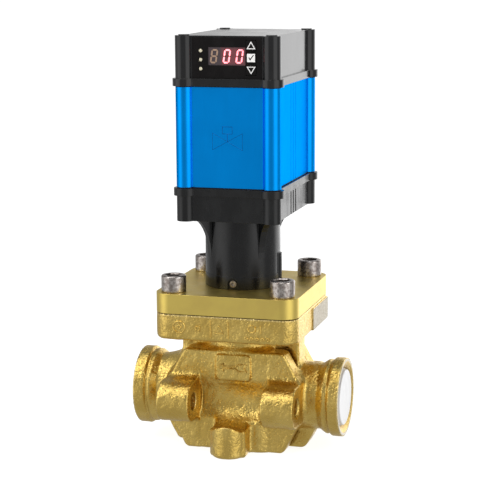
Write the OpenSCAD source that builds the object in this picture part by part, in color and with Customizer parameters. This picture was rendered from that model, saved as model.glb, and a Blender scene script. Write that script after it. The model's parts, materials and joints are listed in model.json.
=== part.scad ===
// Motorised control valve: a stepper-driven actuator head with a display, clamped on the
// bonnet of a cast two-port valve body.
// Origin: middle of the base, under the vertical axis of the valve. +Z up, the ports lie
// along X, the display faces -Y.

/* [Valve body] */
// Face-to-face length over the two ports
port_span = 156; // [150:1:162]
// Height of the port axis above the base
port_z = 38.5; // [38:0.5:39.5]
// Outer diameter of the port hubs
hub_d = 58; // [56:1:60]
// Outer diameter of the necks behind the hubs
pipe_d = 49; // [48:1:50]
// Bore of the tube sockets in the hubs
socket_d = 42.6; // [41:0.1:43]
// Width of the square cast flange
flange_w = 106; // [104:1:110]
// Height of the underside of the cast flange
flange_low = 87; // [86:0.5:88]
// Outer face of the two side plates, measured from the valve axis
plate_y = 27.5; // [27:0.5:29]
// Thickness of each side plate
plate_t = 9; // [8:0.5:9]
// Distance of the port bolts from the valve axis
port_bolt_y = 40; // [39:0.5:41]
// Diameter of the port bolt holes
port_bolt_d = 13.5; // [13:0.1:14]

/* [Bonnet] */
// Thickness of the machined bonnet plate
bonnet_t = 14.3; // [14:0.1:15]
// Spacing of the four bonnet screws, both ways
screw_pitch = 81; // [80:0.5:82]
// Thread diameter of the bonnet screws
screw_d = 12; // [12:1:12]
// Head diameter of the bonnet screws
screw_head_d = 18; // [18:1:18]

/* [Valve trim] */
// Lift of the valve cone from closed to fully open
lift = 12; // [8:1:12]
// Bore of the seat ring
seat_d = 28; // [27:0.5:28]
// Diameter of the balancing piston
piston_d = 34; // [34:0.5:34]
// Diameter of the spindle
spindle_d = 8; // [8:1:8]

/* [Magnetic drive] */
// Outer diameter of the sealed can
can_d = 24.4; // [24:0.1:24.6]
// Outer diameter of the outer magnet cup
cup_d = 39; // [38:0.5:39]
// Diameter of the motor shaft
shaft_d = 5; // [5:1:5]
// Side of the square stepper motor
motor_w = 42.3; // [41:0.1:43]

/* [Neck] */
// Diameter of the neck
neck_d = 55.2; // [54:0.2:56]
// Bore of the neck
neck_bore_d = 47; // [46.8:0.1:47.2]
// Reach of the four neck ribs from the valve axis
rib_reach = 42.5; // [38:0.5:43]

/* [Head] */
// Width of the head over its corner columns
head_w = 77; // [76:0.5:78]
// Depth of the head over its corner columns
head_d = 114; // [112:0.5:116]
// Distance of the head's middle behind the valve axis
head_y = 14.5; // [14:0.5:15.5]
// Radius of the corner columns
column_r = 6.5; // [6.5:0.1:7]
// Depth of the panels behind the columns
panel_inset = 4; // [3.6:0.1:4]
// Height of the underside of the head
head_z = 171.7; // [171.7:0.1:172]
// Height of the blue housing
housing_h = 71.4; // [70:0.2:72]
// Total height of the assembly
total_z = 303.6; // [303:0.1:304]

/* [Front panel] */
// Width of the front label
label_w = 51; // [50:0.5:51]
// Height of the front label
label_h = 29.4; // [29:0.1:29.4]
// Height of one display digit
digit_h = 9.9; // [9:0.1:10]
// Distance between neighbouring digits
digit_pitch = 9.3; // [9:0.1:9.4]
// Slant of the digits in degrees
digit_slant = 9; // [5:1:10]
// Width and height of a key
key_w = 7.2; // [6.8:0.1:7.4]
// Distance between neighbouring keys
key_pitch = 8.45; // [8.4:0.05:8.5]

/* [Hidden] */
$fn = 96;

// Valve body levels
flange_high = 105.5;
flange_corner = 12;
body_bore = 45;
seat_z = 49;
partition_z = 42;
bore_step_z = 102.5;
boss_r = 15;
boss_in = 26;
boss_out = 51;
web_t = 18;
channel_r = 18;
foot_r = 13;
socket_deep = 14;
mouth_r = 26.4;
mouth_deep = 2.4;
// Bonnet levels
gasket_t = 0.6;
bonnet_low = flange_high + gasket_t;
bonnet_high = bonnet_low + bonnet_t;
spigot_r = neck_bore_d / 2 - 0.1;
spigot_h = 8;
retainer_low = bonnet_low + 0.2;
can_flange_low = 110;
can_flange_high = 113;
can_flange_r = 17;
can_r = can_d / 2;
can_wall = 1;
can_top = 157.2;
// Play of running fits, and play of pieces that are fixed in one another
fit = 0.05;
slack = 0.05;
// Valve trim levels
piston_low = 70;
piston_high = 88;
nut_low = 76;
cone_low = seat_z + 0.2;
// Magnetic drive levels
magnet_low = 125;
magnet_high = 153;
magnet_in = can_r + 0.8;
magnet_out = magnet_in + 4;
cup_low = 124;
cup_floor = 158.5;
cup_top = 162;
hub_top = 173.5;
shaft_low = 159;
// Head levels
cap_floor_t = 5;
cap_low_h = 18.5;
lip_h = 5.4;
lip_out = 2;
seal_t = 0.6;
lip_low_z = head_z + cap_low_h;
housing_low = lip_low_z + lip_h + seal_t;
housing_high = housing_low + housing_h;
cap_high_z = housing_high + seal_t;
wall = 2;
panel_front = head_y - head_d / 2 + panel_inset;
panel_rear = head_y + head_d / 2 - panel_inset;
column_x = head_w / 2 - column_r;
column_y = head_d / 2 - column_r;
// Motor levels
plate_low = head_z + cap_floor_t;
plate_high = plate_low + 3;
motor_top = plate_high + 40;
// Front panel places
label_z = total_z - 1 - label_h / 2;
label_front = panel_front - 0.1;
label_back = panel_front + 0.4;
display_w = 27.2;
display_h = 12.6;
display_z = total_z - 14.3;
segment_t = 1.15;
segment_front = panel_front + 0.15;
key_x = 17.7;
key_z = total_z - 15.2;
led_x = -19.1;
led_z = [293.1, 286.8, 280.5];
led_r = 1.2;
board_front = panel_front + 7.5;
gland_z = head_z + 9.5;
gland_x = 15;

// ---------- shared shapes ----------

module rounded_rectangle(w, d, r) {
    square([w - 2 * r, d], center = true);
    square([w, d - 2 * r], center = true);
    for (x = [-1, 1], y = [-1, 1])
        translate([x * (w / 2 - r), y * (d / 2 - r)]) circle(r);
}

module rounded_plate(w, d, r, low, high) {
    translate([0, 0, low]) linear_extrude(high - low) rounded_rectangle(w, d, r);
}

// Outline of the head: four round columns joined by inset panels.
module head_outline(grow = 0) {
    square([head_w - 2 * panel_inset + 2 * grow, head_d - 2 * panel_inset + 2 * grow], center = true);
    for (x = [-1, 1], y = [-1, 1])
        translate([x * column_x, y * column_y]) circle(column_r + grow);
}

module head_slab(low, high, grow = 0) {
    translate([0, head_y, low]) linear_extrude(high - low) head_outline(grow);
}

// Hollow of the head: the panels' inside, less the columns.
module head_hollow(low, high) {
    translate([0, head_y, low]) linear_extrude(high - low) difference() {
        square([head_w - 2 * panel_inset - 2 * wall, head_d - 2 * panel_inset - 2 * wall], center = true);
        for (x = [-1, 1], y = [-1, 1])
            translate([x * column_x, y * column_y]) circle(column_r);
    }
}

module at_columns() {
    for (x = [-1, 1], y = [-1, 1])
        translate([x * column_x, head_y + y * column_y, 0]) children();
}

module ring(r_in, r_out, low, high) {
    translate([0, 0, low]) difference() {
        cylinder(r = r_out, h = high - low);
        translate([0, 0, -1]) cylinder(r = r_in, h = high - low + 2);
    }
}

module at_screws() {
    for (x = [-1, 1], y = [-1, 1])
        translate([x * screw_pitch / 2, y * screw_pitch / 2, 0]) children();
}

// Cylinder along +X from x = start to x = stop.
module bar_x(r, start, stop) {
    translate([start, 0, 0]) rotate([0, 90, 0]) cylinder(r = r, h = stop - start);
}

// Cylinder along +Y from y = start to y = stop.
module bar_y(r, start, stop) {
    translate([0, start, 0]) rotate([-90, 0, 0]) cylinder(r = r, h = stop - start);
}

// ---------- valve body ----------

// One port neck and hub, along +X from the valve axis.
module port_outside() {
    hub = hub_d / 2;
    pipe = pipe_d / 2;
    end = port_span / 2;
    translate([0, 0, port_z]) rotate([0, 90, 0]) rotate_extrude()
        polygon([
            [0, 0], [pipe, 0], [pipe, end - 17], [hub - 2.8, end - 14.5], [hub - 1.5, end - 12.3],
            [hub - 1.4, end - 11.3], [hub - 2, end - 9.9], [hub - 1.7, end - 9], [hub, end - 7.4],
            [hub, end - 0.5], [hub - 0.5, end], [0, end]
        ]);
}

module side_plate() {
    translate([0, -plate_y + plate_t, 0]) rotate([90, 0, 0]) linear_extrude(plate_t)
        polygon([
            [-37, 0], [37, 0], [50.5, 26], [50.5, 51], [38.5, 73], [35, 75],
            [-35, 75], [-38.5, 73], [-50.5, 51], [-50.5, 26]
        ]);
}

// Web under the two ports, between the side plates.
module lower_web() {
    translate([0, web_t / 2, 0]) rotate([90, 0, 0]) linear_extrude(web_t)
        polygon([
            [-45.5, 0], [45.5, 0], [48.5, 1.2], [50.5, 4], [57, 15], [57, port_z],
            [-57, port_z], [-57, 15], [-50.5, 4], [-48.5, 1.2]
        ]);
}

// Bolt boss of one port on one side, with its web to the side plate.
module bolt_boss() {
    translate([0, -port_bolt_y, port_z]) bar_x(boss_r, boss_in, boss_out);
    translate([boss_in, 0, 0]) rotate([90, 0, 90]) linear_extrude(boss_out - boss_in)
        polygon([
            [-plate_y + 1, port_z - 19], [-plate_y - 1, port_z - 17.4], [-plate_y - 6, port_z - 14.2],
            [-plate_y - 6, port_z + 14.2], [-plate_y - 1, port_z + 17.4], [-plate_y + 1, port_z + 19]
        ]);
}

// Foot under one side plate: a round boss with a smaller swelling beside it.
module foot() {
    translate([0, -port_bolt_y, 0]) cylinder(r = foot_r, h = 26);
    translate([-foot_r, -port_bolt_y, 0]) cube([2 * foot_r, port_bolt_y - plate_y + 1, 26]);
    translate([17.5, -plate_y + 5, 0]) cylinder(r = 8.5, h = 25);
}

// Channel across one side plate, between the bolt bosses.
module bolt_channel() {
    translate([0, -port_bolt_y, port_z]) bar_x(channel_r, -boss_in, boss_in);
}

// Slanting passage from the socket of the right port to the valve axis.
module passage(r, end_x, end_z) {
    run = port_span / 2 - socket_deep - end_x;
    rise = end_z - port_z;
    slope = atan(rise / run);
    translate([port_span / 2 - socket_deep, 0, port_z]) rotate([0, -90 + slope, 0])
        cylinder(r = r, h = run / cos(slope) + 6);
}

module port_bore() {
    end = port_span / 2;
    translate([0, 0, port_z]) {
        bar_x(socket_d / 2, end - socket_deep, end + 1);
        bar_x(17.5, end - socket_deep - 9, end - socket_deep + 1);
        translate([end - mouth_deep, 0, 0]) rotate([0, 90, 0])
            cylinder(r1 = socket_d / 2, r2 = mouth_r, h = mouth_deep + 0.01);
    }
}

module valve_body() {
    color("goldenrod") difference() {
        union() {
            rounded_plate(flange_w, flange_w, flange_corner, flange_low, flange_high);
            translate([flange_w / 2 - 2, -2, flange_low + 0.5]) cube([3, 47, flange_high - flange_low - 2]);
            for (m = [0, 1]) mirror([m, 0, 0]) port_outside();
            for (turn = [0, 180]) rotate([0, 0, turn]) {
                side_plate();
                foot();
                for (m = [0, 1]) mirror([m, 0, 0]) bolt_boss();
            }
            cylinder(r = 28, h = flange_low + 1);
            lower_web();
            translate([-45.5, -10, 50]) cube([91, 20, flange_low - 49]);
            passage(18, 18, 27);
            mirror([1, 0, 0]) passage(18, 20, 61.5);
            translate([-13.3, -plate_y - 1.6, 53]) cube([26.6, 3, 19.3]);
        }
        for (turn = [0, 180]) rotate([0, 0, turn]) {
            bolt_channel();
            for (m = [0, 1]) mirror([m, 0, 0]) translate([0, -port_bolt_y, port_z]) {
                bar_x(port_bolt_d / 2, boss_in - 1, boss_out + 1);
                translate([boss_out - 1, 0, 0]) rotate([0, 90, 0])
                    cylinder(r1 = port_bolt_d / 2, r2 = port_bolt_d / 2 + 1.1, h = 1.1);
            }
        }
        for (m = [0, 1]) mirror([m, 0, 0]) port_bore();
        translate([0, 0, 12]) cylinder(r = 18, h = partition_z - 12);
        translate([0, 0, partition_z - 1]) cylinder(r = 18 + slack, h = 8);
        translate([0, 0, seat_z - 1.5]) cylinder(r = 20 + slack, h = 2);
        translate([0, 0, seat_z]) cylinder(r = body_bore / 2, h = flange_high);
        translate([0, 0, bore_step_z]) cylinder(r = 26.3, h = 10);
        passage(12.5, 18, 27);
        mirror([1, 0, 0]) passage(12.5, 20, 61.5);
        at_screws() translate([0, 0, bonnet_high - 31]) cylinder(r = screw_d / 2, h = 40);
    }
}

module seat_ring() {
    color("silver") {
        ring(seat_d / 2, 18, partition_z + 0.5, seat_z);
        ring(17.5, 20, seat_z - 1.5, seat_z);
    }
}

module guide_cylinder() {
    color("silver") {
        ring(piston_d / 2 + fit, body_bore / 2 - 0.1, piston_low - 0.5, bonnet_low);
        ring(piston_d / 2 + 2, 26.2, bore_step_z, bonnet_low);
    }
}

module at_pins() {
    for (y = [-12, 12]) translate([0, y, 0]) children();
}

// Cone, stem and balancing piston in one turned piece, with four flow windows in its skirt.
module valve_cone() {
    color("gainsboro") difference() {
        union() {
            translate([0, 0, cone_low - 9]) cylinder(r = seat_d / 2 - 0.4, h = 10);
            translate([0, 0, cone_low]) cylinder(r = 16, h = 5);
            translate([0, 0, cone_low + 5]) cylinder(r1 = 16, r2 = 9, h = 4);
            translate([0, 0, cone_low + 8]) cylinder(r = 9, h = piston_low - cone_low - 7);
            translate([0, 0, piston_low]) cylinder(r = piston_d / 2, h = piston_high - piston_low);
        }
        translate([0, 0, cone_low - 10]) cylinder(r = seat_d / 2 - 3.4, h = 11);
        for (turn = [0, 90]) rotate([0, 0, turn]) translate([-4, -20, cone_low - 10]) cube([8, 40, 6]);
        ring(12.2, 15.8, cone_low - 1, cone_low + 1.6);
        translate([0, 0, nut_low - lift - 2]) cylinder(r = spindle_d / 2 + 0.6, h = 30);
        translate([0, 0, nut_low]) cylinder(r = 7.5, h = 20);
        at_pins() translate([0, 0, piston_low - 1]) cylinder(r = 2 + fit, h = 30);
    }
}

module cone_seal() {
    color("white") ring(12.2, 15.8, cone_low, cone_low + 1.6);
}

module spindle_nut() {
    color("peru") ring(spindle_d / 2 + fit, 7.5, nut_low, piston_high);
}

module guide_pins() {
    color("silver") at_pins() translate([0, 0, 82]) cylinder(r = 2, h = retainer_low + 2 - 82);
}

module can_retainer() {
    color("silver") difference() {
        ring(spindle_d / 2 + 1, can_flange_r, retainer_low, can_flange_low);
        at_pins() translate([0, 0, retainer_low - 1]) cylinder(r = 2, h = 3);
    }
}

module can_seal() {
    color("black") translate([0, 0, can_flange_high + 0.9]) rotate_extrude() translate([14.8, 0]) circle(0.9);
}

module seal_can() {
    color("silver") difference() {
        union() {
            translate([0, 0, can_flange_low]) cylinder(r = can_r, h = can_top - can_flange_low);
            translate([0, 0, can_flange_low]) cylinder(r = can_flange_r, h = can_flange_high - can_flange_low);
        }
        translate([0, 0, can_flange_low - 1])
            cylinder(r = can_r - can_wall, h = can_top - can_wall - can_flange_low + 1);
    }
}

module spindle_bearing_lower() {
    color("silver") ring(spindle_d / 2 + fit, can_r - can_wall, can_flange_high, can_flange_high + 6);
}

module spindle_bearing_upper() {
    color("peru") ring(spindle_d / 2 + fit, can_r - can_wall, 151.5, 155.5);
}

// Spindle with its thrust collar; the lower end carries the nut's thread.
module spindle() {
    color("silver") {
        translate([0, 0, nut_low]) cylinder(r = spindle_d / 2, h = 155 - nut_low);
        translate([0, 0, can_flange_high + 6.3]) cylinder(r = 7, h = 2.5);
    }
}

module inner_magnet() {
    color("dimgray") ring(spindle_d / 2, can_r - can_wall - 0.6, can_flange_high + 8.8, 150);
}

// ---------- bonnet ----------

module bonnet_gasket() {
    color("black") difference() {
        rounded_plate(flange_w - 3, flange_w - 3, flange_corner - 1.5, flange_high, bonnet_low);
        translate([0, 0, flange_high - 1]) cylinder(r = 27, h = 3);
        at_screws() translate([0, 0, flange_high - 1]) cylinder(r = screw_d / 2 + 0.5, h = 3);
    }
}

module bonnet() {
    color("darkkhaki") difference() {
        union() {
            rounded_plate(flange_w, flange_w, flange_corner, bonnet_low, bonnet_high);
            translate([0, 0, bonnet_high - 1]) cylinder(r = spigot_r, h = spigot_h + 1);
        }
        translate([0, 0, bonnet_low - 1]) cylinder(r = can_flange_r + 0.05, h = can_flange_high - bonnet_low + 1);
        translate([0, 0, bonnet_low]) cylinder(r = can_r + 0.05, h = 40);
        translate([0, 0, bonnet_high]) cylinder(r = cup_d / 2 + 0.8, h = 20);
        ring(13.8, 15.8, can_flange_high - 0.5, can_flange_high + 1.8);
        at_screws() translate([0, 0, bonnet_low - 1]) cylinder(r = screw_d / 2 + 0.5, h = bonnet_t + 2);
    }
}

module socket_screw(head_r, thread_r, head_h, length, key_af) {
    difference() {
        union() {
            cylinder(r = head_r, h = head_h);
            translate([0, 0, -length]) cylinder(r = thread_r, h = length + 1);
        }
        translate([0, 0, head_h / 2]) cylinder(d = key_af / cos(30), h = head_h, $fn = 6);
    }
}

module bonnet_screws() {
    color("silver") at_screws() translate([0, 0, bonnet_high])
        socket_screw(screw_head_d / 2, screw_d / 2, 12, 30, 10);
}

// Push-in dust plug: a shallow cup closed at the port face.
module port_plug() {
    end = port_span / 2;
    translate([0, 0, port_z]) difference() {
        bar_x(socket_d / 2 - fit, end - socket_deep + 0.4, end - 0.5);
        bar_x(socket_d / 2 - 2, end - socket_deep - 1, end - 2.5);
    }
}

module port_plug_right() {
    color("white") port_plug();
}

module port_plug_left() {
    color("white") mirror([1, 0, 0]) port_plug();
}

// ---------- magnetic drive ----------

module outer_magnets() {
    color("dimgray") difference() {
        ring(magnet_in, magnet_out, magnet_low, magnet_high);
        for (turn = [0:60:120]) rotate([0, 0, turn]) translate([-30, -0.5, magnet_low - 1])
            cube([60, 1, magnet_high - magnet_low + 2]);
    }
}

module outer_magnet_cup() {
    color("silver") difference() {
        union() {
            translate([0, 0, cup_low]) cylinder(r = cup_d / 2, h = cup_top - cup_low);
            translate([0, 0, cup_top - 1]) cylinder(r = 8, h = hub_top - cup_top + 1);
        }
        translate([0, 0, cup_low - 1]) cylinder(r = magnet_out + slack, h = cup_floor - cup_low + 1);
        translate([0, 0, cup_floor - 1]) cylinder(r = shaft_d / 2, h = 30);
        translate([0, 0, 168]) bar_x(1.5, 0, 20);
    }
}

module cup_set_screw() {
    color("black") translate([0, 0, 168]) bar_x(1.5, shaft_d / 2, 7.6);
}

// ---------- lower part of the head ----------

// Curved gusset between the neck and the underside of the head.
module rib() {
    rise = 29;
    reach = rib_reach - neck_d / 2;
    translate([0, 2.5, 0]) rotate([90, 0, 0]) linear_extrude(5)
        polygon(concat(
            [[neck_d / 2 - 3, head_z - rise], [neck_d / 2 - 3, head_z + 1], [rib_reach, head_z + 1]],
            [for (a = [0:9:90]) [rib_reach - reach * sin(a), head_z - rise + rise * cos(a)]]
        ));
}

// Three upright vent grooves in one side panel.
module vent_grooves(low, high, width) {
    for (y = [-7, 0, 7], side = [-1, 1])
        translate([side * (head_w / 2 - panel_inset), head_y + y, low])
            translate([-1, -width / 2, 0]) cube([2, width, high - low]);
}

module neck_screw_place(turn) {
    rotate([0, 0, turn]) translate([0, 0, bonnet_high + 4.2]) children();
}

module bottom_cap() {
    color("#17181a") difference() {
        union() {
            translate([0, 0, bonnet_high + 0.2]) cylinder(r = neck_d / 2, h = head_z - bonnet_high + 2);
            translate([0, 0, bonnet_high + 0.2]) cylinder(r = neck_d / 2 + 0.3, h = 9.2);
            translate([neck_d / 2 - 3.2, 0, bonnet_high + 4]) cylinder(r = 5, h = 20);
            for (turn = [45:90:315]) rotate([0, 0, turn]) rib();
            head_slab(head_z, lip_low_z + 1);
            head_slab(lip_low_z, lip_low_z + lip_h, lip_out);
        }
        translate([0, 0, bonnet_high - 1]) cylinder(r = neck_bore_d / 2, h = 80);
        translate([0, 0, plate_low - 1.5]) cylinder(r = 26, h = 3);
        head_hollow(plate_low, lip_low_z + lip_h + 1);
        translate([-28, -28, plate_low]) cube([56, 56, 20]);
        vent_grooves(head_z - 1, lip_low_z - 1.5, 2.4);
        at_columns() translate([0, 0, head_z + 6]) cylinder(r = 2, h = 30);
        for (turn = [0, 120, 240]) neck_screw_place(turn) rotate([0, 0, 180]) {
            bar_y(2.5, 15, 40);
            translate([-3.8, neck_d / 2 - 1.5, -5]) cube([7.6, 4, 5]);
            bar_y(3.8, neck_d / 2 - 1.5, 40);
        }
        for (x = [-24, 24], y = [-24, 24]) translate([x, y, head_z + 1]) cylinder(r = 2, h = 10);
        for (x = [-gland_x, gland_x]) translate([x, 0, gland_z]) bar_y(6 + slack, panel_rear - 10, panel_rear + 10);
    }
}

module neck_set_screws() {
    color("silver") for (turn = [0, 120, 240]) neck_screw_place(turn) rotate([0, 0, 180]) difference() {
        bar_y(2.5, neck_bore_d / 2 + 0.1, neck_d / 2 - 0.6);
        translate([0, neck_d / 2 - 2, 0]) rotate([-90, 0, 0]) cylinder(d = 2.5 / cos(30), h = 3, $fn = 6);
    }
}

module motor_plate() {
    color("silver") difference() {
        translate([-27, -27, plate_low]) cube([54, 54, 3]);
        translate([0, 0, plate_low - 1]) cylinder(r = 11.05, h = 5);
        for (x = [-24, 24], y = [-24, 24]) translate([x, y, plate_low - 1]) cylinder(r = 2.2, h = 5);
        for (x = [-15.5, 15.5], y = [-15.5, 15.5]) translate([x, y, plate_low]) {
            translate([0, 0, -1]) cylinder(r = 1.6, h = 5);
            translate([0, 0, -0.01]) cylinder(r1 = 3, r2 = 1.6, h = 1.5);
        }
    }
}

module plate_screws() {
    color("silver") for (x = [-24, 24], y = [-24, 24]) translate([x, y, plate_high]) {
        cylinder(r = 3.5, h = 2.4);
        translate([0, 0, -7]) cylinder(r = 2, h = 8);
    }
}

module motor_screws() {
    color("silver") for (x = [-15.5, 15.5], y = [-15.5, 15.5]) translate([x, y, plate_low]) {
        cylinder(r1 = 2.9, r2 = 1.5, h = 1.5);
        cylinder(r = 1.5, h = 9);
    }
}

// ---------- stepper motor ----------

module motor_block(low, high) {
    translate([0, 0, low]) linear_extrude(high - low) intersection() {
        square(motor_w, center = true);
        rotate(45) square(53, center = true);
    }
}

module motor_cap_lower() {
    color("silver") difference() {
        union() {
            motor_block(plate_high, plate_high + 9);
            translate([0, 0, plate_high - 2]) cylinder(r = 11, h = 3);
        }
        translate([0, 0, plate_high - 3]) cylinder(r = 3.5, h = 20);
        translate([0, 0, plate_high + 1]) cylinder(r = 7, h = 4.1);
        translate([0, 0, plate_high + 5]) cylinder(r = 14, h = 5);
        for (x = [-15.5, 15.5], y = [-15.5, 15.5]) translate([x, y, plate_high - 1]) cylinder(r = 1.5, h = 7.5);
    }
}

module motor_stator() {
    color("dimgray") difference() {
        motor_block(plate_high + 9, motor_top - 9);
        translate([0, 0, plate_high]) cylinder(r = 13.6, h = 40);
    }
}

module motor_cap_upper() {
    color("silver") difference() {
        motor_block(motor_top - 9, motor_top);
        translate([0, 0, motor_top - 10]) cylinder(r = 14, h = 5);
        translate([0, 0, motor_top - 5.1]) cylinder(r = 7, h = 4.1);
    }
}

module motor_bearings() {
    color("silver") {
        ring(shaft_d / 2 + fit, 7, plate_high + 1, plate_high + 5);
        ring(shaft_d / 2 + fit, 7, motor_top - 5, motor_top - 1);
    }
}

module motor_rotor() {
    color("silver") {
        translate([0, 0, shaft_low]) cylinder(r = shaft_d / 2, h = motor_top - 1.3 - shaft_low);
        translate([0, 0, plate_high + 9.5]) cylinder(r = 13.2, h = 21);
    }
}

// ---------- housing and top cap ----------

// Flat seal under or over the housing, following its wall.
module head_seal(low) {
    color("black") difference() {
        head_slab(low, low + seal_t, -0.3);
        head_hollow(low - 1, low + seal_t + 1);
        at_columns() translate([0, 0, low - 1]) cylinder(r = 2.2, h = 3);
    }
}

module lower_gasket() {
    head_seal(housing_low - seal_t);
}

module upper_gasket() {
    head_seal(housing_high);
}

// Extruded housing with screw channels in its columns and rails for the two circuit boards.
module housing() {
    color("#0a86d8") difference() {
        union() {
            difference() {
                head_slab(housing_low, housing_high);
                head_hollow(housing_low - 1, housing_high + 1);
            }
            for (y = [control_y, supply_y], side = [-1, 1], step = [-1.6, 1.6])
                translate([side * 31.6 - 1.5, y + step - 0.6, housing_low]) cube([3, 1.2, housing_h]);
        }
        vent_grooves(housing_low - 1, housing_high + 1, 0.8);
        at_columns() translate([0, 0, housing_low - 1]) cylinder(r = 2.2, h = housing_h + 2);
    }
}

module key_places() {
    for (step = [-1, 0, 1]) translate([key_x, 0, key_z + step * key_pitch]) children();
}

module top_cap() {
    color("#101112") difference() {
        union() {
            difference() {
                union() {
                    head_slab(cap_high_z, cap_high_z + lip_h, lip_out);
                    head_slab(cap_high_z, total_z);
                }
                head_hollow(cap_high_z - 1, total_z - 2.5);
            }
            for (x = [-25, 25], z = [display_z - 11.5, display_z + 8.5])
                translate([x, 0, z]) bar_y(2.2, panel_front + 1, board_front);
        }
        translate([-label_w / 2, panel_front - 1, label_z - label_h / 2]) cube([label_w, 1.4, label_h]);
        translate([-display_w / 2, panel_front - 1, display_z - display_h / 2]) cube([display_w, 4, display_h]);
        key_places() translate([-key_w / 2 - 0.3, panel_front - 1, -key_w / 2 - 0.3])
            cube([key_w + 0.6, 4, key_w + 0.6]);
        for (z = led_z) translate([led_x, 0, z]) bar_y(led_r + 0.1, panel_front - 1, panel_front + 4);
        at_columns() {
            translate([0, 0, cap_high_z - 1]) cylinder(r = 2.2, h = 40);
            translate([0, 0, total_z - 8]) cylinder(r = 4, h = 10);
        }
    }
}

module tie_screws() {
    color("silver") at_columns() {
        translate([0, 0, head_z + 8]) cylinder(r = 2, h = total_z - 8 - head_z - 7.5);
        translate([0, 0, total_z - 8]) cylinder(r = 3.5, h = 4);
    }
}

module screw_plugs() {
    color("#101112") at_columns() translate([0, 0, total_z - 3]) cylinder(r = 4, h = 3.7);
}

// ---------- rear cable entries ----------

module cable_glands() {
    color("silver") for (x = [-gland_x, gland_x]) translate([x, 0, gland_z]) difference() {
        union() {
            bar_y(6, panel_rear - 5, panel_rear + 1);
            translate([0, panel_rear, 0]) rotate([-90, 0, 0]) cylinder(d = 15 / cos(30), h = 5, $fn = 6);
            bar_y(6, panel_rear + 4, panel_rear + 11);
        }
        bar_y(3.2, panel_rear - 10, panel_rear + 20);
    }
}

module gland_nuts() {
    color("silver") for (x = [-gland_x, gland_x]) translate([x, 0, gland_z]) difference() {
        union() {
            translate([0, panel_rear + 5.2, 0]) rotate([-90, 0, 0]) cylinder(d = 15 / cos(30), h = 6, $fn = 6);
            translate([0, panel_rear + 11.2, 0]) rotate([-90, 0, 0]) cylinder(r1 = 7.4, r2 = 4.6, h = 5);
        }
        bar_y(6, panel_rear, panel_rear + 11.2);
        bar_y(3.2, panel_rear, panel_rear + 20);
    }
}

// ---------- electronics ----------

control_y = 36;
supply_y = 52;
board_low = housing_low + 4;
board_high = housing_high - 6;

module upright_board(y) {
    translate([-31.5, y - 0.8, board_low]) cube([63, 1.6, board_high - board_low]);
}

module control_board() {
    color("seagreen") {
        upright_board(control_y);
        for (part = [[-12, 30, 14, 14, 2], [12, 36, 9, 9, 1.6], [-14, 10, 20, 8, 8], [14, 12, 10, 12, 3]])
            translate([part[0] - part[2] / 2, control_y - 0.8 - part[4], board_low + part[1] - part[3] / 2])
                cube([part[2], part[4] + 0.4, part[3]]);
    }
}

module supply_board() {
    color("seagreen") {
        upright_board(supply_y);
        translate([-26, supply_y - 7, board_low + 3]) cube([18, 6.5, 11]);
        translate([4, supply_y - 5, board_low + 3]) cube([22, 4.5, 9]);
    }
}

module supply_capacitors() {
    color("midnightblue") for (x = [-20, -7]) translate([x, 0, board_low + 42])
        bar_y(5, supply_y - 12, supply_y - 0.8);
}

module supply_transformer() {
    color("goldenrod") {
        translate([6, supply_y - 11.8, board_low + 30]) cube([20, 11, 20]);
        translate([9, supply_y - 13.5, board_low + 33]) cube([14, 12, 14]);
    }
}

module display_board() {
    color("seagreen") translate([-27.5, board_front, label_z - 13]) cube([55, 1.6, 26]);
}

module key_switches() {
    color("silver") key_places() {
        translate([-3, board_front - 3.5, -3]) cube([6, 3.5, 6]);
        bar_y(1.6, board_front - 4.4, board_front - 3);
    }
}

module display_module() {
    color("#2a2422") translate([-display_w / 2, segment_front + 0.15, display_z - display_h / 2])
        cube([display_w, board_front - segment_front - 0.15, display_h]);
}

// Ends of the seven segments on a grid 1 wide and 2 high: left, middle, right and bottom, middle, top.
SEGMENTS = [
    [[0, 0], [1, 0]], [[0, 1], [1, 1]], [[0, 2], [1, 2]],
    [[0, 0], [0, 1]], [[1, 0], [1, 1]], [[0, 1], [0, 2]], [[1, 1], [1, 2]]
];
ZERO_ON = [0, 2, 3, 4, 5, 6];

// Place of a grid point of a digit, in the plane of the display.
function digit_point(p) =
    let (w = digit_h * 0.5 - segment_t, h = digit_h - segment_t, y = (p[1] - 1) * h / 2)
    [(p[0] - 0.5) * w + y * tan(digit_slant), y];

module segment(i) {
    a = digit_point(SEGMENTS[i][0]);
    b = digit_point(SEGMENTS[i][1]);
    length = norm(b - a);
    u = (b - a) / length;
    v = [-u[1], u[0]];
    t = segment_t / 2;
    e = 0.18;
    polygon([
        a + u * e, a + u * (e + t) + v * t, b - u * (e + t) + v * t,
        b - u * e, b - u * (e + t) - v * t, a + u * (e + t) - v * t
    ]);
}

module digit(place, which) {
    translate([place * digit_pitch, segment_front + 0.15, display_z]) rotate([90, 0, 0])
        linear_extrude(0.15) for (i = which) segment(i);
}

// The first digit is dark; the other two show a zero, with a dark middle bar.
module digits_unlit() {
    color("#7a6650") {
        digit(-1, [for (i = [0:6]) i]);
        digit(0, [1]);
        digit(1, [1]);
    }
}

module digits_lit() {
    color("red") for (place = [0, 1]) digit(place, ZERO_ON);
}

module front_label() {
    color("#15110f") difference() {
        translate([-label_w / 2, label_front, label_z - label_h / 2])
            cube([label_w, label_back - label_front, label_h]);
        translate([-display_w / 2, label_front - 1, display_z - display_h / 2]) cube([display_w, 3, display_h]);
        key_places() translate([-key_w / 2 - 0.3, label_front - 1, -key_w / 2 - 0.3])
            cube([key_w + 0.6, 3, key_w + 0.6]);
        for (z = led_z) translate([led_x, 0, z]) bar_y(led_r + 0.1, label_front - 1, label_back + 1);
    }
}

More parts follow.
